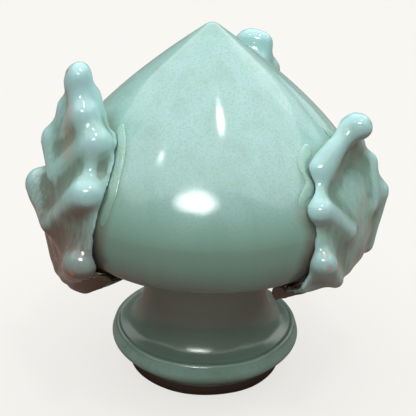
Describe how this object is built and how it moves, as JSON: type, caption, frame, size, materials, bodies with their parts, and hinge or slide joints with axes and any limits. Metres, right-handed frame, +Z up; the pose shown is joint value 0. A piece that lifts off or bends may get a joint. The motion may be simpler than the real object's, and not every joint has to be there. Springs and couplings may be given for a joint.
{
  "type": "ceramic pumo",
  "caption": "Glazed ceramic flower bud with a drawn point and moulded acanthus leaves, on a flared round foot, a free-standing folk ornament.",
  "frame": {"origin": "on the surface it stands on, under the middle of the outline seen from above", "axes": "+Z up along the turned axis, towards the bud's point; -Y towards the bare front between the two side leaves"},
  "size_m": [0.1468, 0.1376, 0.15],
  "materials": {
    "bud_glaze": "glossy turquoise-green glaze, fine-grained, greener where it pools and browner towards the underside",
    "leaf_glaze": "glossy turquoise glaze, thin and brownish on sharp edges and in hollows, with small chips to the clay",
    "foot_glaze": "glossy grey-green glaze, ending above a bare brown ring",
    "slip_glaze": "glossy pale green glaze, pooled on the joints"
  },
  "bodies": {
    "root": {"bud": "bud_glaze", "foot": "foot_glaze", "neck_slip": "slip_glaze", "leaf_left": "leaf_glaze", "leaf_slip_left_rear": "slip_glaze", "leaf_slip_left_front": "slip_glaze", "leaf_right": "leaf_glaze", "leaf_slip_right_front": "slip_glaze", "leaf_slip_right_rear": "slip_glaze", "leaf_back": "leaf_glaze", "leaf_slip_back_right": "slip_glaze", "leaf_slip_back_left": "slip_glaze"}
  },
  "joints": []
}
